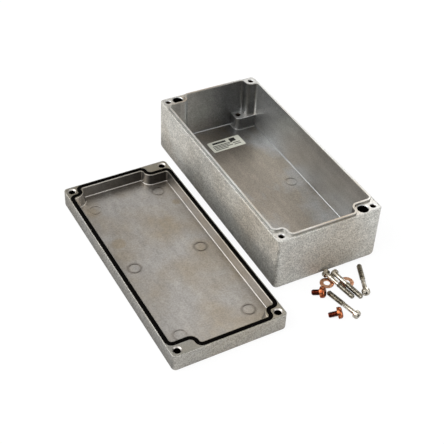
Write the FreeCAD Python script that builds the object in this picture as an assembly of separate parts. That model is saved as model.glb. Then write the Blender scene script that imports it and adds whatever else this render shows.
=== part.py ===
import FreeCAD, Part
import math
import os

# A die cast aluminium box: deep base, shallow lid lying beside it inner face up, a sealing cord in the
# lid's groove, and the loose screws that belong to it. Millimetres, +Z up, everything standing or lying
# on Z = 0. The base's underside is centred on the origin, its long side runs along Y.

V = FreeCAD.Vector
UP = V(0, 0, 1)

# Closed size of the box
box_width = 80.0
box_length = 175.0
base_height = 43.5
lid_height = 13.5
corner_radius = 3.0
foot_rounding = 5.0
lid_edge_rounding = 2.2
rim_break = 0.5

# Line that the seal follows, measured in from the outer faces, with a notch inside every corner
seal_side_inset = 2.1
seal_end_inset = 2.25
notch_depth = 10.25
screw_notch_width = 10.0
fixing_notch_width = 18.7
seal_corner_radius = 3.5
notch_inner_radius = 3.5
fixing_notch_radius = 4.2
notch_outer_radius = 3.4

# Tongue on the base, cord and groove in the lid
tongue_width = 1.4
tongue_height = 1.5
tongue_edge = 0.3
cord_width = 2.7
cord_height = 3.8
cord_side_play = 0.1
cord_proud = 0.8
cord_crown_flat = 0.2

# Insides
floor_thickness = 7.0
base_wall_draft = 0.6
floor_fillet = 1.0
lid_plate = 4.9
lid_wall_draft = 0.8
lid_ledge = 0.3
lid_floor_fillet = 0.8
notch_slope_top = 7.9
notch_slope_foot = 9.2
flare_bend = 0.2

# Round marks left by the ejector pins: a fine groove round each, three pairs in the lid, one in the base
pin_mark_radius = 4.4
pin_groove_width = 0.5
pin_groove_depth = 0.3
lid_pin_x = 24.6
lid_pin_pitch = 66.0
base_pin_x = 26.0

# Screws of the lid: M3.5, with their holes
screw_inset = 4.8
thread_radius = 1.75
shank_radius = 1.5
thread_length = 14.0
screw_under_head = 25.2
screw_head_radius = 2.8
screw_head_height = 2.5
screw_head_edge = 0.7
screw_tip_chamfer = 0.5
recess_reach = 1.8
recess_width = 0.9
recess_depth = 1.4
recess_foot_reach = 0.9
recess_foot_width = 0.6
screw_hole_play = 0.5
screw_hole_break = 0.8
tap_depth_spare = 4.0
earth_tap_spare = 2.0
tap_loss = 0.3
countersink = 0.8
head_play = 0.5
head_sink = 0.7

# Wells and holes that fix the base to a wall
fixing_end_inset = 5.1
fixing_from_screw = 7.8
fixing_well_radius = 3.7
fixing_hole_radius = 2.4
fixing_break = 0.4

# Block at the foot of each corner that has no well, tapped for a short screw
block_reach = 10.0
block_front = 3.3
block_height = 10.2
block_radius = 4.0
block_hole_inset = 4.0
block_hole_back = 8.0
block_edge = 0.5

# Earth screws: M4 with a pan head, and their washers
earth_thread_radius = 2.0
earth_length = 6.0
pan_radius = 3.9
pan_height = 3.1
pan_edge = 1.3
pan_crown_radius = 2.4
pan_shoulder = 0.5
pan_shoulder_drop = 0.6
earth_recess_depth = 1.4
washer_play = 0.15
washer_radius = 4.8
washer_thickness = 0.5

# Label on the floor of the base
label_width = 27.8
label_depth = 12.8
label_thickness = 0.2
label_corner = 1.0
label_x = 4.5
label_from_end = 26.1
label_turn = 1.5

# Overlap of solids that are joined, and overshoot of cuts
overlap = 1.0

# Where the loose things lie
lid_gap = 10.06
lid_shift = -32.58
lid_turn = 0.64

# Values that follow
tap_radius = thread_radius - tap_loss
earth_tap_radius = earth_thread_radius - tap_loss
seal_x = box_width / 2 - seal_side_inset
seal_y = box_length / 2 - seal_end_inset
notch_y = box_length / 2 - notch_depth
screw_notch_x = box_width / 2 - screw_notch_width
fixing_notch_x = box_width / 2 - fixing_notch_width
screw_x = box_width / 2 - screw_inset
screw_y = box_length / 2 - screw_inset
fixing_x = screw_x - fixing_from_screw
fixing_y = box_length / 2 - fixing_end_inset
base_wall_inset = tongue_width / 2
groove_half = cord_width / 2 + cord_side_play
groove_depth = cord_height - cord_proud
recess_inset = groove_half + lid_ledge
head_well_radius = screw_head_radius + head_play
head_well_depth = screw_head_height + head_sink
screw_reach = screw_under_head - (lid_height - head_well_depth)
tap_depth = screw_reach + tap_depth_spare
earth_tap_depth = earth_length + earth_tap_spare
label_y = box_length / 2 - label_from_end


# Closed lines
def seal_corners(side):
    """Corners of the seal line, x, y and radius, counter-clockwise; side 1 as in the lid, -1 as in the base."""
    half = [
        (-fixing_notch_x, -seal_y, notch_outer_radius),
        (screw_notch_x, -seal_y, notch_outer_radius),
        (screw_notch_x, -notch_y, notch_inner_radius),
        (seal_x, -notch_y, seal_corner_radius),
        (seal_x, notch_y, seal_corner_radius),
        (fixing_notch_x, notch_y, fixing_notch_radius),
    ]
    ring = half + [(-x, -y, r) for x, y, r in half]
    if side < 0:
        ring = [(-x, y, r) for x, y, r in reversed(ring)]
    return ring


def box_corners():
    """Corners of the outline of base and lid."""
    x = box_width / 2
    y = box_length / 2
    return [(-x, -y, corner_radius), (x, -y, corner_radius), (x, y, corner_radius), (-x, y, corner_radius)]


def rounded_loop(corners, inset, z):
    """Closed wire of lines and arcs, drawn inset from the corners given and at height z."""
    points = [V(x, y, z) for x, y, r in corners]
    count = len(points)
    ways = []
    for i in range(count):
        step = points[(i + 1) % count] - points[i]
        ways.append(step.normalize())
    marks = []
    for i in range(count):
        before = ways[i - 1]
        after = ways[i]
        shift = V(-before.y - after.y, before.x + after.x, 0) * inset
        corner = points[i] + shift
        outward = before.cross(after).z > 0
        radius = corners[i][2] - inset if outward else corners[i][2] + inset
        start = corner - before * radius
        end = corner + after * radius
        centre = corner + (after - before) * radius
        reach = corner - centre
        middle = centre + reach.normalize() * radius
        marks.append((start, middle, end))
    edges = []
    for i in range(count):
        start, middle, end = marks[i]
        edges.append(Part.Arc(start, middle, end).toShape())
        edges.append(Part.makeLine(end, marks[(i + 1) % count][0]))
    return Part.Wire(edges)


def plate(corners, inset, z, height):
    """Upright solid on a closed line."""
    return Part.Face(rounded_loop(corners, inset, z)).extrude(V(0, 0, height))


def edges_at(shape, z):
    """Edges that lie at height z."""
    found = []
    for edge in shape.Edges:
        box = edge.BoundBox
        if abs(box.ZMin - z) < 1e-4 and abs(box.ZMax - z) < 1e-4:
            found.append(edge)
    return found


def pocket(corners, top_inset, foot_inset, z_top, z_foot, fillet):
    """Drafted hollow, wider at the top, with a rounded foot."""
    top = rounded_loop(corners, top_inset, z_top)
    foot = rounded_loop(corners, foot_inset, z_foot)
    hollow = Part.makeLoft([top, foot], True, True)
    return hollow.makeFillet(fillet, edges_at(hollow, z_foot))


def drill(x, y, z_top, depth, radius):
    """Round bore going down from z_top."""
    return Part.makeCylinder(radius, depth, V(x, y, z_top - depth), UP)


def sink(x, y, z_top, radius, depth):
    """Conical edge of a bore, opening upwards to z_top."""
    lift = 0.2
    return Part.makeCone(radius, radius + depth + lift, depth + lift, V(x, y, z_top - depth), UP)


def pin_groove(x, y, z_top):
    """Ring-shaped groove that outlines an ejector pin in a face at z_top."""
    outer = drill(x, y, z_top, pin_groove_depth, pin_mark_radius)
    return outer.cut(drill(x, y, z_top, pin_groove_depth, pin_mark_radius - pin_groove_width))


def four_ways():
    """The four corners as sign pairs."""
    return [(sx, sy) for sx in (-1, 1) for sy in (-1, 1)]


# Base
def base_body():
    shell = plate(box_corners(), 0, 0, base_height)
    shell = shell.makeFillet(foot_rounding, edges_at(shell, 0))
    shell = shell.makeFillet(rim_break, edges_at(shell, base_height))
    tongue = plate(seal_corners(-1), -tongue_width / 2, base_height - overlap, tongue_height + overlap)
    tongue = tongue.makeFillet(tongue_edge, edges_at(tongue, base_height + tongue_height))
    shell = shell.fuse(tongue)
    rim = base_height + tongue_height
    wall_foot = base_wall_inset + base_wall_draft
    hollow = pocket(seal_corners(-1), base_wall_inset, wall_foot, rim, floor_thickness, floor_fillet)
    shell = shell.cut(hollow)
    for side in (1, -1):
        shell = shell.fuse(corner_block(side))
    cuts = []
    for sx, sy in four_ways():
        x = sx * screw_x
        y = sy * screw_y
        cuts.append(drill(x, y, base_height, tap_depth, tap_radius))
        cuts.append(sink(x, y, base_height, tap_radius, countersink))
    for side in (1, -1):
        x = -side * fixing_x
        y = side * fixing_y
        well_depth = base_height - floor_thickness
        cuts.append(drill(x, y, base_height, well_depth, fixing_well_radius))
        cuts.append(sink(x, y, base_height, fixing_well_radius, fixing_break))
        cuts.append(drill(x, y, floor_thickness + overlap, floor_thickness + 2 * overlap, fixing_hole_radius))
        hole_x = side * block_hole_x()
        hole_y = side * block_hole_y()
        block_top = floor_thickness + block_height
        cuts.append(drill(hole_x, hole_y, block_top, earth_tap_depth, earth_tap_radius))
        cuts.append(sink(hole_x, hole_y, block_top, earth_tap_radius, fixing_break))
        cuts.append(pin_groove(side * base_pin_x, 0, floor_thickness))
    return shell.cut(cuts[0].fuse(cuts[1:])).removeSplitter()


def block_hole_x():
    return screw_notch_x - block_reach + block_hole_inset


def block_hole_y():
    return box_length / 2 - block_hole_back


def corner_block(side):
    """Low block across the foot of the screw corner, its free corner rounded."""
    left = screw_notch_x - block_reach
    right = seal_x
    front = notch_y - block_front
    back = seal_y
    corners = [(left, front, block_radius), (right, front, 0.5), (right, back, 0.5), (left, back, 0.5)]
    block = plate(corners, 0, floor_thickness - overlap, block_height + overlap)
    block = block.makeFillet(block_edge, edges_at(block, floor_thickness + block_height))
    if side < 0:
        block.rotate(V(0, 0, 0), UP, 180)
    return block


# Lid, modelled inner face up
def notch_slope(x, y):
    """Sloping flank round a screw notch, flared into the floor of the lid."""
    crest = V(notch_slope_top, 0, lid_height)
    knee = V(notch_slope_foot, 0, lid_plate + lid_floor_fillet)
    toe = V(notch_slope_foot + lid_floor_fillet, 0, lid_plate)
    bend = (knee + toe) / 2 - V(1, 0, 1) * lid_floor_fillet * flare_bend
    edges = [
        Part.makeLine(V(0, 0, lid_plate), V(0, 0, lid_height)),
        Part.makeLine(V(0, 0, lid_height), crest),
        Part.makeLine(crest, knee),
        Part.Arc(knee, bend, toe).toShape(),
        Part.makeLine(toe, V(0, 0, lid_plate)),
    ]
    flank = Part.Face(Part.Wire(edges)).revolve(V(0, 0, 0), UP, 360)
    flank.translate(V(x, y, 0))
    return flank


def lid_body():
    cover = plate(box_corners(), 0, 0, lid_height)
    cover = cover.makeFillet(lid_edge_rounding, edges_at(cover, 0))
    cover = cover.makeFillet(rim_break, edges_at(cover, lid_height))
    wall_foot = recess_inset + lid_wall_draft
    hollow = pocket(seal_corners(1), recess_inset, wall_foot, lid_height, lid_plate, lid_floor_fillet)
    for side in (1, -1):
        hollow = hollow.cut(notch_slope(side * screw_x, -side * screw_y))
    cover = cover.cut(hollow)
    outer = plate(seal_corners(1), -groove_half, lid_height - groove_depth, groove_depth)
    inner = plate(seal_corners(1), groove_half, lid_height - groove_depth, groove_depth)
    cuts = [outer.cut(inner)]
    for sx, sy in four_ways():
        x = sx * screw_x
        y = sy * screw_y
        cuts.append(drill(x, y, lid_height, lid_height, thread_radius + screw_hole_play))
        cuts.append(sink(x, y, lid_height, thread_radius + screw_hole_play, screw_hole_break))
        cuts.append(drill(x, y, head_well_depth, head_well_depth, head_well_radius))
    for sx in (-1, 1):
        for row in (-1, 0, 1):
            cuts.append(pin_groove(sx * lid_pin_x, row * lid_pin_pitch, lid_plate))
    return cover.cut(cuts[0].fuse(cuts[1:])).removeSplitter()


def cord_body():
    """Sealing cord: flat underneath, rounded on top."""
    z = lid_height - groove_depth
    outer = plate(seal_corners(1), -cord_width / 2, z, cord_height)
    inner = plate(seal_corners(1), cord_width / 2, z, cord_height)
    cord = outer.cut(inner)
    return cord.makeFillet((cord_width - cord_crown_flat) / 2, edges_at(cord, z + cord_height))


# Loose screws, drawn along +Z from the tip, then laid on the table
def turned(profile):
    """Solid turned about Z from points given as radius and height."""
    points = [V(r, 0, z) for r, z in profile]
    outline = Part.makePolygon(points + [points[0]])
    return Part.Face(outline).revolve(V(0, 0, 0), UP, 360)


def slot_outline(reach, half_width, z):
    """Closed rectangle at height z, long in X."""
    corners = [(-reach, -half_width), (reach, -half_width), (reach, half_width), (-reach, half_width)]
    points = [V(x, y, z) for x, y in corners]
    return Part.makePolygon(points + [points[0]])


def cross_recess(z_top, depth):
    """Tapering cross driven into a head whose crown is at z_top."""
    arms = []
    for turn in (0, 90):
        mouth = slot_outline(recess_reach, recess_width / 2, z_top)
        foot = slot_outline(recess_foot_reach, recess_foot_width / 2, z_top - depth)
        arm = Part.makeLoft([mouth, foot], True, True)
        arm.rotate(V(0, 0, 0), UP, turn)
        arms.append(arm)
    return arms[0].fuse(arms[1])


def long_screw():
    tip = screw_tip_chamfer
    head = screw_under_head
    top = head + screw_head_height
    profile = [
        (0, 0),
        (thread_radius - tip, 0),
        (thread_radius, tip),
        (thread_radius, thread_length),
        (shank_radius, thread_length + thread_radius - shank_radius),
        (shank_radius, head),
        (screw_head_radius, head),
        (screw_head_radius, top),
        (0, top),
    ]
    body = turned(profile)
    body = body.makeFillet(screw_head_edge, edges_at(body, top))
    return body.cut(cross_recess(top, recess_depth))


def earth_screw():
    tip = screw_tip_chamfer
    seat = earth_length
    top = seat + pan_height
    shoulder = V(pan_radius - pan_shoulder, 0, top - pan_shoulder_drop)
    crown = Part.Arc(V(pan_radius, 0, seat + pan_edge), shoulder, V(pan_crown_radius, 0, top))
    profile = [
        (pan_crown_radius, top),
        (0, top),
        (0, 0),
        (earth_thread_radius - tip, 0),
        (earth_thread_radius, tip),
        (earth_thread_radius, seat),
        (pan_radius, seat),
        (pan_radius, seat + pan_edge),
    ]
    outline = Part.makePolygon([V(r, 0, z) for r, z in profile])
    body = Part.Face(Part.Wire(outline.Edges + [crown.toShape()])).revolve(V(0, 0, 0), UP, 360)
    return body.cut(cross_recess(top, earth_recess_depth))


def earth_washer():
    disc = Part.makeCylinder(washer_radius, washer_thickness)
    return disc.cut(Part.makeCylinder(earth_thread_radius + washer_play, washer_thickness))


def laid(shape, tip_radius, rim_radius, rim_height, x, from_front, heading):
    """Lay a screw down so that the rim under its head and its tip both touch Z = 0.
    The tip lies x, from_front ahead of the base; heading is the way from tip to head in degrees."""
    lean = math.atan((rim_radius - tip_radius) / (rim_height - screw_tip_chamfer))
    lift = tip_radius * math.cos(lean) - screw_tip_chamfer * math.sin(lean)
    piece = shape.copy()
    piece.rotate(V(0, 0, 0), V(0, 1, 0), 90 - math.degrees(lean))
    piece.translate(V(0, 0, lift))
    piece.rotate(V(0, 0, 0), UP, heading)
    piece.translate(V(x, -box_length / 2 - from_front, 0))
    return piece


# Label
def label_body():
    x = label_width / 2
    y = label_depth / 2
    r = label_corner
    piece = plate([(-x, -y, r), (x, -y, r), (x, y, r), (-x, y, r)], 0, 0, label_thickness)
    piece.rotate(V(0, 0, 0), UP, label_turn)
    piece.translate(V(label_x, label_y, floor_thickness))
    return piece


# Tip place x, distance in front of the base and heading of each loose screw; centres of the washers
lid_screw_places = [
    (3.8, 28.2, 100.6),
    (8.8, 30.7, 100.0),
    (24.3, 4.6, -114.4),
    (-8.6, 17.3, -79.2),
]
earth_screw_places = [
    (-18.3, 12.7, -44.0),
    (-19.7, 34.9, -26.0),
]
washer_places = [
    (-3.8, 8.4),
    (8.7, 13.5),
]


def beside(shape):
    """Put a piece of the lid where the lid lies."""
    piece = shape.copy()
    piece.rotate(V(0, 0, 0), UP, lid_turn)
    piece.translate(V(-box_width - lid_gap, lid_shift, 0))
    return piece


pieces = {
    "base": base_body(),
    "lid": beside(lid_body()),
    "gasket": beside(cord_body()),
    "label": label_body(),
}
for number, place in enumerate(lid_screw_places, 1):
    pieces["lid_screw_%d" % number] = laid(long_screw(), thread_radius, screw_head_radius, screw_under_head, *place)
for number, place in enumerate(earth_screw_places, 1):
    pieces["earth_screw_%d" % number] = laid(earth_screw(), earth_thread_radius, pan_radius, earth_length, *place)
for number, (x, from_front) in enumerate(washer_places, 1):
    washer = earth_washer()
    washer.translate(V(x, -box_length / 2 - from_front, 0))
    pieces["earth_washer_%d" % number] = washer

os.makedirs("parts", exist_ok=True)
for name, shape in pieces.items():
    solid = shape.Solids[0] if len(shape.Solids) == 1 else shape
    solid.exportStep("parts/%s.step" % name)
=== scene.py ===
import bpy
import math
from mathutils import Matrix, Vector


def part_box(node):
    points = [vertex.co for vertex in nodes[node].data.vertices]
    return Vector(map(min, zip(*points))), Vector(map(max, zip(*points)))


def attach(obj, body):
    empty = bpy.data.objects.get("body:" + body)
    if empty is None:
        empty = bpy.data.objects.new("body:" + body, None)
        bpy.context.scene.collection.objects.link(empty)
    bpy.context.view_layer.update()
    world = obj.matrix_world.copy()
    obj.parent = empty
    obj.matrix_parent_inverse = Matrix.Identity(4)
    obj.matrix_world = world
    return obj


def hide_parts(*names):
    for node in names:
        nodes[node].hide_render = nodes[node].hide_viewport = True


# A die cast aluminium box lying open: deep base, shallow lid with its sealing cord, and the loose screws
# and washers in front. Metres, +Z up, everything on the table at Z = 0.

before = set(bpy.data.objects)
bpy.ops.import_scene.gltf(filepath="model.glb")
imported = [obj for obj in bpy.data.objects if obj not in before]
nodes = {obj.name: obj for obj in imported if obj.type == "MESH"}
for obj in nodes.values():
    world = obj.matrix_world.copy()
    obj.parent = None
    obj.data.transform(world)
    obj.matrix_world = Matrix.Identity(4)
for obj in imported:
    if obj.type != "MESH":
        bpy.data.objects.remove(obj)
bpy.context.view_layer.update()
MM = 0.001
BODY = "root"


def reach_of(node):
    """Lowest and highest corner of a CAD node, in millimetres."""
    return [[c / MM for c in corner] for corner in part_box(node)]


def middle_of(node):
    """Middle of a CAD node in plan, in millimetres."""
    low, high = reach_of(node)
    return ((low[0] + high[0]) / 2, (low[1] + high[1]) / 2, 0)


base_low, base_high = reach_of("base")
base_top = base_high[2]
lid_top = reach_of("lid")[1][2]
half_width = base_high[0]
half_length = base_high[1]
base_front = base_low[1]

# Camera: the photograph's own view of the table. Distance and target are metres, lens and sensor
# millimetres
view_azimuth = math.radians(-30.096)
view_elevation = math.radians(40.918)
view_roll = math.radians(3.151)
view_distance = 0.652324
view_target = Vector((-0.049259, -0.031106, 0.020))
view_lens = 78.04
sensor_width = 36.0


def place_camera():
    """Camera that looks at the target from its azimuth, elevation and distance, rolled a little."""
    flat = math.cos(view_elevation)
    back = Vector((math.sin(view_azimuth) * flat, -math.cos(view_azimuth) * flat, math.sin(view_elevation)))
    right = Vector((0, 0, 1)).cross(back).normalized()
    up = back.cross(right)
    across = math.cos(view_roll) * right + math.sin(view_roll) * up
    upward = math.cos(view_roll) * up - math.sin(view_roll) * right
    turn = Matrix((across, upward, back)).transposed().to_4x4()
    data = bpy.data.cameras.new("camera")
    data.lens = view_lens
    data.sensor_width = sensor_width
    camera = bpy.data.objects.new("camera", data)
    camera.matrix_world = Matrix.Translation(view_target + view_distance * back) @ turn
    bpy.context.scene.collection.objects.link(camera)
    bpy.context.scene.camera = camera


# Finish of the castings. Sizes, depths, gaps, spans and rises are millimetres, and dull values roughness. A
# facing is how far a surface's normal points along an axis, from -1 to 1. The rest are shares and factors
inside_dull = 0.33
outside_dull = 0.53
grain_dull = 0.1
flat_facing = 0.9
upright_facing = 0.6
steep_facing = (0.5, 0.25)
rear_wall_facing = (-0.9, -0.2)
side_wall_facing = (-0.9, -0.6)

# Outer skin: this near the outer faces, or this far below the floor
outer_skin_depth = 1.2
under_floor_depth = 1.0

# Brown film: its clouds, the even core of a stain, and how much of it the outer skin has
cloud_size = 30.0
cloud_edges = (0.42, 0.68)
cloud_share = 0.8
stain_core_share = 0.4
outside_film_share = 0.5

# Streaks and grain. The blasting grain is about 0.2 mm and is drawn coarser so that it shows
streak_size = 5.0
streak_stretch = 0.35
streak_change = 0.1
streak_bump_depth = 0.12
streak_bump_share = 0.4
grain_drawn_size = 0.9
grain_bump_depth = 0.07
inside_bump_share = 0.5
noise_middle = (0.3, 0.7)

# Walls: the painted light and shade on them, where it changes along and up them, and its factor at their
# foot and below their rim
rear_wall_span = (-25.0, 15.0)
rear_wall_rise = (8.0, 36.0)
rear_wall_rim_shade = 1.15
right_wall_span = (-15.0, 65.0)
right_wall_foot_gap = 1.0
right_wall_rim_gap = 7.5
right_wall_rim_shade = 1.08
wall_foot_shade = 0.75
corner_size = 12.0
outer_foot_rise = (3.0, 24.0)
outer_foot_shade = 0.5

# Rim, tongue and low block, with the painted shade on the tongue, the painted light on the block's top and
# the painted highlights on the inner top edge and along the block's foot
touch_depth = 0.1
tongue_left_facing = (-0.8, -0.3)
tongue_left_share = 0.35
bright_edge_depth = 0.7
block_top_play = 1.0
block_top_painted_light = 0.9
block_line_size = 0.5
block_line_soft = (0.3, 0.8)
block_line_share = 0.9
block_line_rise = 0.5

# Marks of the ejector pins
pin_radius = 4.4
pin_ring_size = 1.5
pin_ring_share = 0.55
pin_ring_shift = 0.3

# Painted shade on the tongue's outer side
tongue_shade_colour = "#9a9892"
# Painted highlights on the inner top edge and along the foot of the low block
painted_highlight = "#e9e8e4"
# Brown stain round the pin marks, partly painted shade
pin_stain_and_shade = "#5a5148"
# Painted shade in the bores
bore_shade = "#2e2722"

# The two castings in their own places: millimetres from the middle of the piece, y to the rear, z up from
# the table, turn in degrees. rear_wall is the painted light and shade on the inner rear wall, as factors on
# its tone in its left corner, at its left and at its right, right_wall the same for the inner right wall at
# its front and its rear, and grain the strength of the grain inside and outside. A bore is x, y, radius and
# diagonal: 1 from front left to rear right, -1 the other one, 0 both. mouth is how far below the rim the
# painted shade in the bores begins. block has its left and front face, the radius of its free corner and its
# height above the floor. A stain is x, y, reach and strength, a pin mark x, y and strength
castings = {
    "base": {
        "centre": middle_of("base"), "turn": 0, "floor": 7.0, "rim": 43.5, "top": base_top,
        "inside": "#999a9a", "outside": "#c6c5c0", "rubbed": "#c0bfbb", "film": "#d9ccbc",
        "rear_wall": (1.6, 1.9, 0.5), "right_wall": (1.25, 2.75), "grain": (0.2, 0.38),
        "bores": [(35.2, 82.7, 2.2, 0), (27.4, 82.4, 3.75, -1), (24.0, 79.5, 2.1, 1)], "mouth": 0.4,
        "block": {"left": 20.0, "front": 73.95, "corner": 4.0, "height": 10.2},
        "stains": [(-10, 64, 38, 1.8), (6, 25, 34, 2.6), (-4, -15, 36, 1.5), (6, -60, 34, 1.4),
                   (0, -87, 26, 0.8)],
        "pins": [(26, 0, 0.3), (-26, 0, 0.3)],
    },
    "lid": {
        "centre": middle_of("lid"), "turn": 0.64, "floor": 4.9, "rim": 13.5, "top": lid_top,
        "inside": "#a5a19c", "outside": "#aeaca7", "rubbed": "#94928b", "film": "#efe5d4",
        "rear_wall": (1.3, 0.5, 0.2), "right_wall": (0.67, 0.67), "grain": (0.15, 0.34),
        "bores": [(35.2, 82.7, 2.3, 0)], "mouth": 0.8,
        "stains": [(-24.4, 27.2, 6, 2.0), (-26, 48, 14, 0.9), (-30, -20, 25, 0.6), (10, 30, 18, 0.6),
                   (24, 0, 12, 0.8), (-27, 64, 7, 1.2), (31, 50, 4, 1.6), (24, 82, 12, 1.4),
                   (-21, -75, 4, 1.6), (0, -87, 35, 0.9)],
        "pins": [(24.6, 66, 0.7), (24.6, 0, 1.0), (-24.6, 0, 1.0), (24.6, -66, 1.0), (-24.6, -66, 0.5)],
    },
}

# Settings that many nodes share. A Mix node takes its share as 0 and two numbers as 2 and 3 or two colours
# as 6 and 7, and gives a colour as output 2. A Map Range node takes its value as 0, the stretch that it
# reads as 1 and 2, and what it gives there as 3 and 4
multiply = {"operation": "MULTIPLY"}
multiply_add = {"operation": "MULTIPLY_ADD"}
minus = {"operation": "SUBTRACT"}
larger = {"operation": "MAXIMUM"}
is_above = {"operation": "GREATER_THAN"}
is_below = {"operation": "LESS_THAN"}
unsigned = {"operation": "ABSOLUTE"}
distance = {"operation": "DISTANCE"}
in_colour = {"data_type": "RGBA"}


def colour(code):
    """Linear colour of an sRGB hex value."""
    parts = [int(code[i:i + 2], 16) / 255 for i in (1, 3, 5)]
    linear = [c / 12.92 if c <= 0.04045 else ((c + 0.055) / 1.055) ** 2.4 for c in parts]
    return (*linear, 1.0)


def add(tree, kind, settings={}, inputs={}):
    """One node with its settings; an input takes a value, an output, or a node for its first output."""
    node = tree.nodes.new(kind)
    for name, value in settings.items():
        setattr(node, name, value)
    for name, value in inputs.items():
        if isinstance(value, bpy.types.Node):
            value = value.outputs[0]
        if isinstance(value, bpy.types.NodeSocket):
            tree.links.new(value, node.inputs[name])
        else:
            node.inputs[name].default_value = value
    return node


def new_material(name):
    """Empty node material and its node tree."""
    made = bpy.data.materials.new(name)
    made.use_nodes = True
    tree = made.node_tree
    tree.nodes.clear()
    return made, tree


def millimetres(tree, centre=(0, 0, 0), turn=0):
    """Object coordinates in millimetres, seen from a centre and with a turn about Z in degrees."""
    place = add(tree, "ShaderNodeTexCoord").outputs["Object"]
    return add(tree, "ShaderNodeMapping", {"vector_type": "TEXTURE"}, {
        "Vector": place, "Location": [c * MM for c in centre],
        "Rotation": (0, 0, math.radians(turn)), "Scale": (MM, MM, MM)})


def casting_places(tree, cast):
    """Where each point of a casting lies and how its surface faces, for its finish to read. corner_plan
    folds the four quarters of the plan into one, so that one place stands for four corners."""
    local = millimetres(tree, cast["centre"], cast["turn"])
    axes = add(tree, "ShaderNodeSeparateXYZ", {}, {0: local}).outputs
    plan = add(tree, "ShaderNodeCombineXYZ", {}, {0: axes["X"], 1: axes["Y"]})
    mirrored = add(tree, "ShaderNodeVectorMath", unsigned, {0: local})
    quarter = add(tree, "ShaderNodeSeparateXYZ", {}, {0: mirrored}).outputs
    normal = add(tree, "ShaderNodeNewGeometry").outputs["Normal"]
    facing = add(tree, "ShaderNodeSeparateXYZ", {}, {0: normal}).outputs
    outward = add(tree, "ShaderNodeVectorMath", {"operation": "DOT_PRODUCT"},
                  {0: normal, 1: plan}).outputs["Value"]
    crossed = add(tree, "ShaderNodeMath", multiply, {0: axes["X"], 1: axes["Y"]})

    outside = add(tree, "ShaderNodeMath", is_below, {0: axes["Z"], 1: cast["floor"] - under_floor_depth})
    for axis, reach in (("X", half_width), ("Y", half_length)):
        near = add(tree, "ShaderNodeMath", is_above, {0: quarter[axis], 1: reach - outer_skin_depth})
        outside = add(tree, "ShaderNodeMath", larger, {0: outside, 1: near})

    return {
        "local": local, "x": axes["X"], "y": axes["Y"], "level": axes["Z"], "plan": plan,
        "corner_plan": add(tree, "ShaderNodeCombineXYZ", {}, {0: quarter["X"], 1: quarter["Y"]}),
        "outside": outside, "facing_x": facing["X"], "facing_y": facing["Y"], "facing_up": facing["Z"],
        "flat": add(tree, "ShaderNodeMath", is_above, {0: facing["Z"], 1: flat_facing}),
        "upright": add(tree, "ShaderNodeMath", is_below, {0: facing["Z"], 1: upright_facing}),
        "outward": add(tree, "ShaderNodeMath", is_above, {0: outward, 1: 0.0}),
        "diagonals": {
            1: add(tree, "ShaderNodeMath", is_above, {0: crossed, 1: 0.0}),
            -1: add(tree, "ShaderNodeMath", is_below, {0: crossed, 1: 0.0}),
        },
    }


def rub_flat(tree, cast, at, tone):
    """The flat that meets the other half was rubbed down and is even in tone."""
    high = add(tree, "ShaderNodeMath", is_above, {0: at["level"], 1: cast["rim"] - touch_depth})
    rubbed = add(tree, "ShaderNodeMath", multiply, {0: high, 1: at["flat"]})
    return add(tree, "ShaderNodeMix", in_colour, {0: rubbed, 6: tone, 7: colour(cast["rubbed"])}).outputs[2]


def lay_film(tree, cast, at, flow, tone):
    """Brown film of the die's release agent in clouds and ragged stains, on the floor and the outer skin but
    not up the inner walls."""
    drift = add(tree, "ShaderNodeTexNoise", {},
                {"Vector": at["local"], "Scale": 1 / cloud_size, "Detail": 3.0})
    film = add(tree, "ShaderNodeMapRange", {},
               {0: drift, 1: cloud_edges[0], 2: cloud_edges[1], 3: 0.0, 4: cloud_share})
    for x, y, reach, strength in cast["stains"]:
        away = add(tree, "ShaderNodeVectorMath", distance, {0: at["plan"], 1: (x, y, 0)}).outputs["Value"]
        soft = add(tree, "ShaderNodeMapRange", {},
                   {0: away, 1: reach, 2: reach * stain_core_share, 3: 0.0, 4: strength})
        ragged = add(tree, "ShaderNodeMath", multiply, {0: soft, 1: flow})
        film = add(tree, "ShaderNodeMath", {"operation": "ADD", "use_clamp": True}, {0: film, 1: ragged})
    filmed = add(tree, "ShaderNodeMix", {}, {0: at["outside"], 2: at["flat"], 3: outside_film_share})
    film = add(tree, "ShaderNodeMath", multiply, {0: film, 1: filmed})
    return add(tree, "ShaderNodeMix", {"data_type": "RGBA", "blend_type": "MULTIPLY"},
               {0: film, 6: tone, 7: colour(cast["film"])}).outputs[2]


def rear_wall_painted_shading(tree, cast, at):
    """Painted light and shade on the inner rear wall, as a factor on the tone: dark to the right and at its
    foot, with a factor of its own in the left corner."""
    corner, left, right = cast["rear_wall"]
    across = add(tree, "ShaderNodeMapRange", {},
                 {0: at["x"], 1: rear_wall_span[0], 2: rear_wall_span[1], 3: left, 4: right})
    in_corner = add(tree, "ShaderNodeMath", is_below, {0: at["x"], 1: corner_size - half_width})
    across = add(tree, "ShaderNodeMix", {}, {0: in_corner, 2: across, 3: corner})
    upward = add(tree, "ShaderNodeMapRange", {},
                 {0: at["level"], 1: rear_wall_rise[0], 2: rear_wall_rise[1],
                  3: wall_foot_shade, 4: rear_wall_rim_shade})
    shade = add(tree, "ShaderNodeMath", multiply, {0: across, 1: upward})
    return add(tree, "ShaderNodeMapRange", {},
               {0: at["facing_y"], 1: rear_wall_facing[0], 2: rear_wall_facing[1], 3: shade, 4: 1.0})


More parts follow.
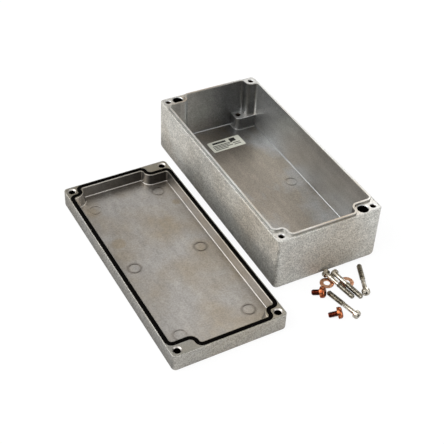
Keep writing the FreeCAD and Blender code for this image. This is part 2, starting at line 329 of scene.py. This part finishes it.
def right_wall_painted_shading(tree, cast, at):
    """Painted light and shade on the inner right wall, as a factor on the tone, from its front to its rear
    and darker at its foot.
    """
    front, rear = cast["right_wall"]
    rearward = add(tree, "ShaderNodeMapRange", {},
                   {0: at["y"], 1: right_wall_span[0], 2: right_wall_span[1], 3: front, 4: rear})
    upward = add(tree, "ShaderNodeMapRange", {},
                 {0: at["level"], 1: cast["floor"] + right_wall_foot_gap,
                  2: cast["rim"] - right_wall_rim_gap, 3: wall_foot_shade, 4: right_wall_rim_shade})
    shade = add(tree, "ShaderNodeMath", multiply, {0: rearward, 1: upward})
    beside = add(tree, "ShaderNodeMapRange", {},
                 {0: at["x"], 1: half_width - corner_size, 2: half_width - corner_size / 3})
    shade = add(tree, "ShaderNodeMix", {}, {0: beside, 2: 1.0, 3: shade})
    return add(tree, "ShaderNodeMapRange", {},
               {0: at["facing_x"], 1: side_wall_facing[0], 2: side_wall_facing[1], 3: shade, 4: 1.0})


def outer_wall_painted_shade(tree, at):
    """Painted shade on the outer left wall, as a factor on the tone: darker towards the table."""
    upward = add(tree, "ShaderNodeMapRange", {},
                 {0: at["level"], 1: outer_foot_rise[0], 2: outer_foot_rise[1],
                  3: outer_foot_shade, 4: 1.0})
    return add(tree, "ShaderNodeMapRange", {},
               {0: at["facing_x"], 1: side_wall_facing[0], 2: side_wall_facing[1], 3: upward, 4: 1.0})


def shade_walls(tree, cast, at, flow, grain, tone):
    """Streaks and grain, and the painted light and shade on the walls and the low block's top, which darken
    and lighten the tone.
    """
    streaks = add(tree, "ShaderNodeMapRange", {},
                  {0: flow, 1: noise_middle[0], 2: noise_middle[1],
                   3: 1.0 - streak_change, 4: 1.0 + streak_change})
    fleck = add(tree, "ShaderNodeMapRange", {},
                {0: grain, 1: noise_middle[0], 2: noise_middle[1], 3: -1.0, 4: 1.0})
    inside_grain, outside_grain = cast["grain"]
    strength = add(tree, "ShaderNodeMix", {}, {0: at["outside"], 2: inside_grain, 3: outside_grain})
    specks = add(tree, "ShaderNodeMath", multiply_add, {0: fleck, 1: strength, 2: 1.0})
    mottle = add(tree, "ShaderNodeMath", multiply, {0: streaks, 1: specks})

    inner = add(tree, "ShaderNodeMath", multiply,
                {0: rear_wall_painted_shading(tree, cast, at), 1: right_wall_painted_shading(tree, cast, at)})
    steep = add(tree, "ShaderNodeMapRange", {},
                {0: at["facing_up"], 1: steep_facing[0], 2: steep_facing[1]})
    inner = add(tree, "ShaderNodeMix", {}, {0: steep, 2: 1.0, 3: inner})
    # Painted light: the top of the low block is made paler
    if "block" in cast:
        block_top = cast["floor"] + cast["block"]["height"]
        lit_block_top = add(tree, "ShaderNodeMath", {"operation": "COMPARE"},
                    {0: at["level"], 1: block_top, 2: block_top_play})
        lit_block_top = add(tree, "ShaderNodeMath", multiply, {0: lit_block_top, 1: at["flat"]})
        inner = add(tree, "ShaderNodeMath", multiply_add, {0: lit_block_top, 1: block_top_painted_light, 2: inner})
    walls = add(tree, "ShaderNodeMix", {}, {0: at["outside"], 2: inner, 3: outer_wall_painted_shade(tree, at)})
    both = add(tree, "ShaderNodeMath", multiply, {0: mottle, 1: walls})
    return add(tree, "ShaderNodeVectorMath", {"operation": "SCALE"}, {0: tone, "Scale": both})


def paint_tongue_shade(tree, cast, at, tone):
    """Painted shade on the outer side of the tongue, least of all where it faces left."""
    high = add(tree, "ShaderNodeMath", is_above, {0: at["level"], 1: cast["rim"] + touch_depth / 2})
    side = add(tree, "ShaderNodeMath", multiply, {0: high, 1: at["upright"]})
    side = add(tree, "ShaderNodeMath", multiply, {0: side, 1: at["outward"]})
    shade_share = add(tree, "ShaderNodeMapRange", {},
               {0: at["facing_x"], 1: tongue_left_facing[0], 2: tongue_left_facing[1],
                3: tongue_left_share, 4: 1.0})
    side = add(tree, "ShaderNodeMath", multiply, {0: side, 1: shade_share})
    return add(tree, "ShaderNodeMix", in_colour, {0: side, 6: tone, 7: colour(tongue_shade_colour)}).outputs[2]


def brighten_edge(tree, cast, at, tone):
    """Painted highlight along the inner top edge."""
    high = add(tree, "ShaderNodeMath", is_above, {0: at["level"], 1: cast["top"] - bright_edge_depth})
    edge = add(tree, "ShaderNodeMath", multiply, {0: high, 1: at["upright"]})
    inward = add(tree, "ShaderNodeMath", minus, {0: 1.0, 1: at["outward"]})
    edge = add(tree, "ShaderNodeMath", multiply, {0: edge, 1: inward})
    return add(tree, "ShaderNodeMix", in_colour, {0: edge, 6: tone, 7: colour(painted_highlight)}).outputs[2]


def ring_pins(tree, cast, at, tone):
    """Soft brown ring round the mark of each ejector pin, partly stain and partly painted shade, and so
    set a little to the rear left of it.
    """
    ring = 0.0
    for x, y, strength in cast["pins"]:
        centre = (x - pin_ring_shift, y + pin_ring_shift, 0)
        away = add(tree, "ShaderNodeVectorMath", distance, {0: at["plan"], 1: centre}).outputs["Value"]
        off = add(tree, "ShaderNodeMath", minus, {0: away, 1: pin_radius})
        off = add(tree, "ShaderNodeMath", unsigned, {0: off})
        near = add(tree, "ShaderNodeMapRange", {},
                   {0: off, 1: 0.0, 2: pin_ring_size, 3: strength * pin_ring_share, 4: 0.0})
        ring = add(tree, "ShaderNodeMath", larger, {0: ring, 1: near})
    ring = add(tree, "ShaderNodeMath", multiply, {0: ring, 1: at["flat"]})
    return add(tree, "ShaderNodeMix", in_colour, {0: ring, 6: tone, 7: colour(pin_stain_and_shade)}).outputs[2]


def shade_bores(tree, cast, at, tone):
    """Painted shade down the bores."""
    below = add(tree, "ShaderNodeMath", is_below, {0: at["level"], 1: cast["rim"] - cast["mouth"]})
    shaded = 0.0
    for x, y, reach, diagonal in cast["bores"]:
        away = add(tree, "ShaderNodeVectorMath", distance,
                   {0: at["corner_plan"], 1: (x, y, 0)}).outputs["Value"]
        within = add(tree, "ShaderNodeMath", is_below, {0: away, 1: reach})
        within = add(tree, "ShaderNodeMath", multiply, {0: within, 1: below})
        if diagonal:
            within = add(tree, "ShaderNodeMath", multiply, {0: within, 1: at["diagonals"][diagonal]})
        shaded = add(tree, "ShaderNodeMath", larger, {0: shaded, 1: within})
    return add(tree, "ShaderNodeMix", in_colour, {0: shaded, 6: tone, 7: colour(bore_shade)}).outputs[2]


def line_block(tree, cast, at, tone):
    """Painted highlight on the floor along the foot of the low block, round its free corner, where a
    fillet that is not modelled would catch the light.
    """
    corner = cast["block"]["corner"]
    centre = (cast["block"]["left"] + corner, cast["block"]["front"] + corner, 0)
    gap = add(tree, "ShaderNodeVectorMath", minus, {0: centre, 1: at["corner_plan"]})
    gap = add(tree, "ShaderNodeVectorMath", larger, {0: gap, 1: (0, 0, 0)})
    away = add(tree, "ShaderNodeVectorMath", {"operation": "LENGTH"}, {0: gap}).outputs["Value"]
    off = add(tree, "ShaderNodeMath", minus, {0: away, 1: corner + block_line_size})
    off = add(tree, "ShaderNodeMath", unsigned, {0: off})
    line = add(tree, "ShaderNodeMapRange", {},
               {0: off, 1: block_line_soft[0], 2: block_line_soft[1], 3: block_line_share, 4: 0.0})
    low = add(tree, "ShaderNodeMath", is_below, {0: at["level"], 1: cast["floor"] + block_line_rise})
    for only in (at["flat"], at["diagonals"][1], low):
        line = add(tree, "ShaderNodeMath", multiply, {0: line, 1: only})
    return add(tree, "ShaderNodeMix", in_colour, {0: line, 6: tone, 7: colour(painted_highlight)}).outputs[2]


def cast_aluminium(name, cast):
    """Pressure die cast aluminium. Outside it was blasted, so it is paler, matt and grainy; inside it is
    as it left the die, greyer and a little smoother, with brown traces of the die's release agent on the
    floor and round the marks of the ejector pins. Its colour also holds painted light and shade on the
    walls, the low block's top and round the pin marks, painted shade on the tongue and down the bores, and
    painted highlights on the inner top edge and along the block's foot."""
    made, tree = new_material(name)
    at = casting_places(tree, cast)
    stretched = add(tree, "ShaderNodeMapping", {},
                    {"Vector": at["local"], "Scale": (1.0, streak_stretch, 1.0)})
    flow = add(tree, "ShaderNodeTexNoise", {},
               {"Vector": stretched, "Scale": 1 / streak_size, "Detail": 4.0})
    grain = add(tree, "ShaderNodeTexNoise", {},
                {"Vector": at["local"], "Scale": 1 / grain_drawn_size, "Detail": 2.0})

    tone = add(tree, "ShaderNodeMix", in_colour,
               {0: at["outside"], 6: colour(cast["inside"]), 7: colour(cast["outside"])}).outputs[2]
    tone = rub_flat(tree, cast, at, tone)
    tone = lay_film(tree, cast, at, flow, tone)
    tone = shade_walls(tree, cast, at, flow, grain, tone)
    tone = paint_tongue_shade(tree, cast, at, tone)
    tone = brighten_edge(tree, cast, at, tone)
    tone = ring_pins(tree, cast, at, tone)
    tone = shade_bores(tree, cast, at, tone)
    if "block" in cast:
        tone = line_block(tree, cast, at, tone)

    dull = add(tree, "ShaderNodeMix", {}, {0: at["outside"], 2: inside_dull, 3: outside_dull})
    uneven = add(tree, "ShaderNodeMath", multiply_add, {0: grain, 1: grain_dull, 2: dull})
    rough = add(tree, "ShaderNodeMix", {}, {0: at["outside"], 2: inside_bump_share, 3: 1.0})
    fine = add(tree, "ShaderNodeBump", {},
               {"Height": grain, "Strength": rough, "Distance": grain_bump_depth * MM})
    coarse = add(tree, "ShaderNodeBump", {},
                 {"Height": flow, "Strength": streak_bump_share, "Distance": streak_bump_depth * MM,
                  "Normal": fine})
    metal = add(tree, "ShaderNodeBsdfPrincipled", {},
                {"Base Color": tone, "Metallic": 1.0, "Roughness": uneven, "Normal": coarse})
    add(tree, "ShaderNodeOutputMaterial", {}, {0: metal})
    return made


# Cord, label and plating: sizes in millimetres of the bloom on the rubber, the creases of the label and
# the patches where a screw was handled; the label's turn in degrees
bloom_size = 4.0
crease_size = 6.0
crease_depth = 0.1
handled_size = 1.6
handled_dull = 0.12
label_turn = 1.5

# Bars of generic print on the label: centre x, centre y, width, height from the label's middle
print_bars = [
    (-4.6, 3.7, 11.5, 2.2), (6.6, 3.0, 5.0, 4.2), (-3.0, 0.6, 17.0, 0.8), (-4.6, -1.0, 14.0, 0.8),
    (8.2, -1.2, 6.0, 0.8), (-3.6, -2.6, 16.0, 0.8), (8.2, -3.2, 6.0, 0.8), (-6.0, -4.3, 11.0, 0.8),
]


def black_rubber():
    """Extruded sealing cord of black rubber: nearly black, with a soft sheen along its crown."""
    made, tree = new_material("sealing rubber, extruded")
    bloom = add(tree, "ShaderNodeTexNoise", {},
                {"Vector": millimetres(tree), "Scale": 1 / bloom_size, "Detail": 3.0})
    tint = add(tree, "ShaderNodeMix", in_colour,
               {0: bloom, 6: colour("#030202"), 7: colour("#060504")}).outputs[2]
    dull = add(tree, "ShaderNodeMapRange", {}, {0: bloom, 3: 0.6, 4: 0.75})
    cord = add(tree, "ShaderNodeBsdfPrincipled", {},
               {"Base Color": tint, "Roughness": dull, "IOR": 1.52, "Specular IOR Level": 0.015})
    add(tree, "ShaderNodeOutputMaterial", {}, {0: cord})
    return made


def foil_label():
    """Silvered polyester label, printed: a pale satin film with dark bars of generic print."""
    made, tree = new_material("silvered polyester film, printed")
    local = millimetres(tree, middle_of("label"), label_turn)
    axes = add(tree, "ShaderNodeSeparateXYZ", {}, {0: local}).outputs
    printed = 0.0
    for x, y, width, height in print_bars:
        sides = []
        for axis, middle, reach in (("X", x, width / 2), ("Y", y, height / 2)):
            off = add(tree, "ShaderNodeMath", minus, {0: axes[axis], 1: middle})
            off = add(tree, "ShaderNodeMath", unsigned, {0: off})
            sides.append(add(tree, "ShaderNodeMath", is_below, {0: off, 1: reach}))
        bar = add(tree, "ShaderNodeMath", multiply, {0: sides[0], 1: sides[1]})
        printed = add(tree, "ShaderNodeMath", larger, {0: printed, 1: bar})
    ink = add(tree, "ShaderNodeMix", in_colour,
              {0: printed, 6: colour("#cdcdc0"), 7: colour("#24231f")}).outputs[2]
    crease = add(tree, "ShaderNodeTexNoise", {},
                 {"Vector": local, "Scale": 1 / crease_size, "Detail": 2.0})
    bump = add(tree, "ShaderNodeBump", {},
               {"Height": crease, "Strength": 0.3, "Distance": crease_depth * MM})
    foil = add(tree, "ShaderNodeBsdfPrincipled", {},
               {"Base Color": ink, "Metallic": 0.2, "Roughness": 0.42, "Normal": bump})
    add(tree, "ShaderNodeOutputMaterial", {}, {0: foil})
    return made


def plated(name, pale, dark, roughness):
    """Bright plating on a turned and rolled part: clean metal, a little darker and duller in patches
    where it was handled."""
    made, tree = new_material(name)
    patch = add(tree, "ShaderNodeTexNoise", {},
                {"Vector": millimetres(tree), "Scale": 1 / handled_size, "Detail": 3.0})
    soft = add(tree, "ShaderNodeMapRange", {}, {0: patch, 1: 0.35, 2: 0.65})
    tint = add(tree, "ShaderNodeMix", in_colour, {0: soft, 6: colour(pale), 7: colour(dark)}).outputs[2]
    dull = add(tree, "ShaderNodeMapRange", {}, {0: soft, 3: roughness, 4: roughness + handled_dull})
    metal = add(tree, "ShaderNodeBsdfPrincipled", {},
                {"Base Color": tint, "Metallic": 1.0, "Roughness": dull})
    add(tree, "ShaderNodeOutputMaterial", {}, {0: metal})
    return made


# Loose screws and washers, in millimetres
long_screw = {
    "thread": 1.75, "root": 1.38, "pitch": 0.6, "thread_end": 14.0, "shank": 1.5, "under_head": 25.2,
    "head": 2.8, "edge_start": 1.8, "crown": 2.1, "head_height": 2.5, "recess": 1.4,
}
short_screw = {
    "thread": 2.0, "root": 1.57, "pitch": 0.7, "thread_end": 5.7, "shank": 1.7, "under_head": 6.0,
    "head": 3.9, "edge_start": 1.3, "crown": 2.4, "head_height": 3.1, "recess": 1.4,
}
tip_chamfer = 0.5
recess_reach = 1.8
recess_width = 0.9
recess_taper = 0.6
washer_radius = 4.8
washer_hole = 2.15
washer_thickness = 0.5
washer_edge = 0.12

# How they are made: the thread's ridge sinks a little into its core, its foot covers this share of the
# pitch and its crest this share of its foot; faces that meet at less than a crease are smooth
thread_sink = 0.15
thread_spread = 0.98
thread_crest = 0.16
thread_steps = 24
run_out = 0.2
turned_segments = 48
dome_steps = 6
recess_inset = 0.05
recess_share = 0.95
screw_crease = math.radians(32)
stamped_segments = 72
rounded_steps = 3
rounded_crease = math.radians(50)
washer_crease = math.radians(40)

# Tip of each screw as x, distance in front of the base and heading in degrees; middle of each washer as x
# and distance in front of the base
long_places = [(3.8, 28.2, 100.6), (8.8, 30.7, 100.0), (24.3, 4.6, -114.4), (-8.6, 17.3, -79.2)]
short_places = [(-18.3, 12.7, -44.0), (-19.7, 34.9, -26.0)]
washer_places = [(-3.8, 8.4), (8.7, 13.5)]


def lathe(rings):
    """Turned solid about Z: a disc whose face is drawn up and resized ring after ring, given as radius
    and height."""
    bpy.ops.object.select_all(action="DESELECT")
    radius, height = rings[0]
    bpy.ops.mesh.primitive_circle_add(vertices=turned_segments, radius=radius, fill_type="NGON",
                                      location=(0, 0, 0))
    bpy.ops.object.mode_set(mode="EDIT")
    bpy.ops.mesh.select_all(action="SELECT")
    for wide, level in rings[1:]:
        bpy.ops.mesh.extrude_region_move(TRANSFORM_OT_translate={"value": (0, 0, level - height)})
        bpy.ops.transform.resize(value=(wide / radius, wide / radius, 1))
        radius, height = wide, level
    bpy.ops.mesh.select_all(action="SELECT")
    bpy.ops.mesh.normals_make_consistent(inside=False)
    bpy.ops.object.mode_set(mode="OBJECT")
    return bpy.context.object


def apply_modifiers(piece):
    """Work a piece's modifiers into its mesh."""
    bpy.ops.object.select_all(action="DESELECT")
    piece.select_set(True)
    bpy.context.view_layer.objects.active = piece
    for modifier in list(piece.modifiers):
        bpy.ops.object.modifier_apply(modifier=modifier.name)


def pick(piece, chosen):
    """Select in edit mode the vertices for which chosen(co) is true."""
    bpy.ops.object.mode_set(mode="EDIT")
    bpy.ops.mesh.select_mode(type="VERT")
    bpy.ops.mesh.select_all(action="DESELECT")
    bpy.ops.object.mode_set(mode="OBJECT")
    for vertex in piece.data.vertices:
        vertex.select = chosen(vertex.co)
    bpy.ops.object.mode_set(mode="EDIT")


def wind_thread(screw, start):
    """Rolled thread: a trapezoid beside the axis, wound round it by the Screw modifier, its two ends cut
    level and closed."""
    pitch = screw["pitch"]
    inner = screw["root"] - thread_sink
    reach = screw["thread"] - inner
    bpy.ops.object.select_all(action="DESELECT")
    bpy.ops.mesh.primitive_plane_add(size=1, rotation=(math.pi / 2, 0, 0),
                                     location=(inner + reach / 2, 0, start - pitch))
    ridge = bpy.context.object
    ridge.scale = (reach, pitch * thread_spread, 1)
    bpy.ops.object.transform_apply(location=True, rotation=True, scale=True)
    pick(ridge, lambda co: co.x > inner + reach / 2)
    bpy.ops.transform.resize(value=(1, 1, thread_crest))
    bpy.ops.mesh.select_all(action="SELECT")
    bpy.ops.mesh.delete(type="ONLY_FACE")
    bpy.ops.object.mode_set(mode="OBJECT")
    turns = math.ceil((screw["thread_end"] - start) / pitch) + 2
    wind = ridge.modifiers.new("wind", "SCREW")
    wind.axis = "Z"
    wind.angle = 2 * math.pi
    wind.screw_offset = pitch
    wind.iterations = turns
    wind.steps = thread_steps
    wind.render_steps = thread_steps
    wind.use_merge_vertices = False
    apply_modifiers(ridge)
    bpy.ops.object.mode_set(mode="EDIT")
    for level, down in ((start, -1), (screw["thread_end"], 1)):
        bpy.ops.mesh.select_all(action="SELECT")
        bpy.ops.mesh.bisect(plane_co=(0, 0, level), plane_no=(0, 0, down), use_fill=True, clear_outer=True)
    bpy.ops.mesh.select_all(action="SELECT")
    bpy.ops.mesh.normals_make_consistent(inside=False)
    bpy.ops.object.mode_set(mode="OBJECT")
    return ridge


def cut_recess(piece, top, depth):
    """Cross recess: two tapering bars taken out of the head."""
    for turn in (0, math.pi / 2):
        bpy.ops.object.select_all(action="DESELECT")
        bpy.ops.mesh.primitive_cube_add(size=1, location=(0, 0, top), rotation=(0, 0, turn))
        bar = bpy.context.object
        bar.scale = (2 * recess_reach, recess_width, 2 * depth)
        bpy.ops.object.transform_apply(location=True, rotation=True, scale=True)
        pick(bar, lambda co: co.z < top)
        bpy.ops.transform.resize(value=(recess_taper, recess_taper, 1))
        bpy.ops.object.mode_set(mode="OBJECT")
        cut = piece.modifiers.new("recess", "BOOLEAN")
        cut.operation = "DIFFERENCE"
        cut.solver = "EXACT"
        cut.object = bar
        apply_modifiers(piece)
        bpy.data.objects.remove(bar)


def make_screw(name, screw, finish, thread_finish):
    """Turned screw with a rolled thread and a cross recess, standing on its tip. The recess has the
    thread's darker finish too."""
    seat = screw["under_head"]
    top = seat + screw["head_height"]
    rise = screw["head_height"] - screw["edge_start"]
    rings = [
        (screw["thread"] - tip_chamfer, 0),
        (screw["root"], tip_chamfer / 2),
        (screw["root"], screw["thread_end"]),
        (screw["shank"], screw["thread_end"] + run_out),
        (screw["shank"], seat),
        (screw["head"], seat),
        (screw["head"], seat + screw["edge_start"]),
    ]
    for step in range(1, dome_steps + 1):
        angle = math.pi / 2 * step / dome_steps
        wide = screw["crown"] + (screw["head"] - screw["crown"]) * math.cos(angle)
        rings.append((wide, seat + screw["edge_start"] + rise * math.sin(angle)))
    body = lathe(rings)
    cut_recess(body, top, screw["recess"])
    body.data.materials.clear()
    body.data.materials.append(finish)
    body.data.materials.append(thread_finish)
    for face in body.data.polygons:
        middle = face.center
        in_head = seat < middle.z < top - recess_inset
        in_recess = in_head and middle.xy.length < screw["crown"] * recess_share
        face.material_index = int(in_recess or middle.z < screw["thread_end"])
    ridge = wind_thread(screw, tip_chamfer)
    ridge.data.materials.append(thread_finish)
    bpy.ops.object.select_all(action="DESELECT")
    ridge.select_set(True)
    body.select_set(True)
    bpy.context.view_layer.objects.active = body
    bpy.ops.object.join()
    body.name = name
    bpy.ops.object.shade_smooth_by_angle(angle=screw_crease)
    return body


def make_washer(name, finish):
    """Stamped washer: a disc inset on both faces and bridged through, its edges rounded."""
    bpy.ops.object.select_all(action="DESELECT")
    bpy.ops.mesh.primitive_cylinder_add(vertices=stamped_segments, radius=washer_radius,
                                        depth=washer_thickness, location=(0, 0, washer_thickness / 2))
    disc = bpy.context.object
    bpy.ops.object.transform_apply(location=True, rotation=True, scale=True)
    bpy.ops.object.mode_set(mode="EDIT")
    bpy.ops.mesh.select_mode(type="FACE")
    bpy.ops.mesh.select_all(action="DESELECT")
    bpy.ops.object.mode_set(mode="OBJECT")
    for face in disc.data.polygons:
        face.select = abs(face.normal.z) > flat_facing
    bpy.ops.object.mode_set(mode="EDIT")
    bpy.ops.mesh.inset(thickness=washer_radius - washer_hole, depth=0)
    bpy.ops.mesh.bridge_edge_loops()
    bpy.ops.mesh.select_all(action="SELECT")
    bpy.ops.mesh.normals_make_consistent(inside=False)
    bpy.ops.object.mode_set(mode="OBJECT")
    soft = disc.modifiers.new("edges", "BEVEL")
    soft.width = washer_edge
    soft.segments = rounded_steps
    soft.limit_method = "ANGLE"
    soft.angle_limit = rounded_crease
    apply_modifiers(disc)
    disc.name = name
    disc.data.materials.append(finish)
    bpy.ops.object.shade_smooth_by_angle(angle=washer_crease)
    return disc


def put(master, name, place, node):
    """Copy of a master with its own mesh, moved to its place, standing for a CAD node."""
    piece = master.copy()
    piece.data = master.data.copy()
    piece.name = name
    bpy.context.scene.collection.objects.link(piece)
    piece.matrix_world = Matrix.Scale(MM, 4) @ place
    bpy.ops.object.select_all(action="DESELECT")
    piece.select_set(True)
    bpy.context.view_layer.objects.active = piece
    bpy.ops.object.transform_apply(location=True, rotation=True, scale=True)
    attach(piece, BODY)
    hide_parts(node)


def lying(screw, x, from_front, heading):
    """Place of a screw that lies with its tip and the rim of its head on the table."""
    lean = math.atan((screw["head"] - screw["thread"]) / (screw["under_head"] - tip_chamfer))
    lift = screw["thread"] * math.cos(lean) - tip_chamfer * math.sin(lean)
    along = Matrix.Rotation(math.radians(heading), 4, "Z") @ Matrix.Rotation(math.pi / 2 - lean, 4, "Y")
    return Matrix.Translation((x, base_front - from_front, lift)) @ along


def lay_screws(steel, steel_thread, coppery, coppery_thread, stamped):
    """The loose screws and washers; a master of each kind is copied to every place."""
    kinds = [
        (make_screw("long screw", long_screw, steel, steel_thread), "long_screw", "lid_screw", "lid_screws",
         [lying(long_screw, *place) for place in long_places]),
        (make_screw("short screw", short_screw, coppery, coppery_thread), "short_screw", "earth_screw",
         "earth_screws", [lying(short_screw, *place) for place in short_places]),
        (make_washer("washer", stamped), "stamped_washer", "earth_washer", "earth_washers",
         [Matrix.Translation((x, base_front - from_front, 0)) for x, from_front in washer_places]),
    ]
    for master, name, node, material_slot, places in kinds:
        for number, place in enumerate(places, 1):
            put(master, "%s_%d" % (name, number), place, "%s_%d" % (node, number))
        bpy.data.objects.remove(master)


# Floor and light: the even part of the room, then its brighter stretches as azimuth and elevation seen
# from the box (0 is in front of it, 90 to its right), tightness and strength. The table's glow is the share
# that the camera sees as plain white
room_level = 0.02
room_glows = [
    (238, 38, 14, 7.0), (125, 36, 14, 3.8), (35, 20, 14, 4.0), (345, 60, 14, 2.2), (284, 45, 14, 4.5),
]
table_glow = 0.92
mirrored_paint = "#d2d2d2"
floor_size = 6.0


def table_top():
    """Plain white table, so pale that it runs out to white in the picture but keeps the soft shadow; the
    metal mirrors it greyer, as a table that falls away from the light."""
    made, tree = new_material("white table top")
    seen = add(tree, "ShaderNodeLightPath").outputs
    watched = add(tree, "ShaderNodeMath", multiply, {0: seen["Is Camera Ray"], 1: table_glow})
    tint = add(tree, "ShaderNodeMix", in_colour,
               {0: seen["Is Glossy Ray"], 6: colour("#f7f7f7"), 7: colour(mirrored_paint)}).outputs[2]
    paint = add(tree, "ShaderNodeBsdfDiffuse", {}, {"Color": tint})
    white = add(tree, "ShaderNodeEmission", {}, {"Color": (1, 1, 1, 1), "Strength": 1.0})
    both = add(tree, "ShaderNodeMixShader", {}, {0: watched, 1: paint, 2: white})
    add(tree, "ShaderNodeOutputMaterial", {}, {0: both})
    return made


def lay_floor():
    """The table top under everything, in metres."""
    bpy.ops.mesh.primitive_plane_add(size=floor_size, location=(0, 0, 0))
    floor = bpy.context.object
    floor.name = "floor"
    floor.data.materials.append(table_top())


def light_room():
    """White room lit by its walls and ceiling, which are brighter in soft stretches; the camera sees it
    plain white."""
    world = bpy.data.worlds.new("white room")
    world.use_nodes = True
    tree = world.node_tree
    tree.nodes.clear()
    way = add(tree, "ShaderNodeTexCoord").outputs["Generated"]
    level = room_level
    for azimuth, elevation, tightness, strength in room_glows:
        turn = math.radians(azimuth)
        rise = math.radians(elevation)
        middle = (math.sin(turn) * math.cos(rise), -math.cos(turn) * math.cos(rise), math.sin(rise))
        facing = add(tree, "ShaderNodeVectorMath", {"operation": "DOT_PRODUCT"},
                     {0: way, 1: middle}).outputs["Value"]
        ahead = add(tree, "ShaderNodeMath", larger, {0: facing, 1: 0.0})
        glow = add(tree, "ShaderNodeMath", {"operation": "POWER"}, {0: ahead, 1: tightness})
        level = add(tree, "ShaderNodeMath", multiply_add, {0: glow, 1: strength, 2: level})
    seen = add(tree, "ShaderNodeLightPath").outputs
    room = add(tree, "ShaderNodeBackground", {}, {"Color": colour("#f8f8f8"), "Strength": level})
    white = add(tree, "ShaderNodeBackground", {}, {"Color": (1, 1, 1, 1), "Strength": 1.0})
    both = add(tree, "ShaderNodeMixShader", {}, {0: seen["Is Camera Ray"], 1: room, 2: white})
    add(tree, "ShaderNodeOutputWorld", {}, {0: both})
    bpy.context.scene.world = world


place_camera()
lay_floor()
light_room()

rubber = black_rubber()
film = foil_label()
zinc = plated("zinc plated steel, bright", "#ded8cc", "#958e80", 0.15)
zinc_thread = plated("zinc plated steel, dulled thread", "#b4aea0", "#6e685c", 0.2)
copper = plated("copper plated steel", "#c97c52", "#74341c", 0.2)
copper_thread = plated("copper plated steel, darkened thread", "#6e3020", "#3c140c", 0.26)
washer_copper = plated("copper, stamped", "#e9bb9c", "#bd8260", 0.3)

finishes = {name: cast_aluminium("die cast aluminium, " + name, cast) for name, cast in castings.items()}
finishes.update({"gasket": rubber, "label": film})
for name, finish in finishes.items():
    for place in nodes[name].material_slots:
        place.material = finish
lay_screws(zinc, zinc_thread, copper, copper_thread, washer_copper)

bpy.context.scene.view_settings.view_transform = "Standard"
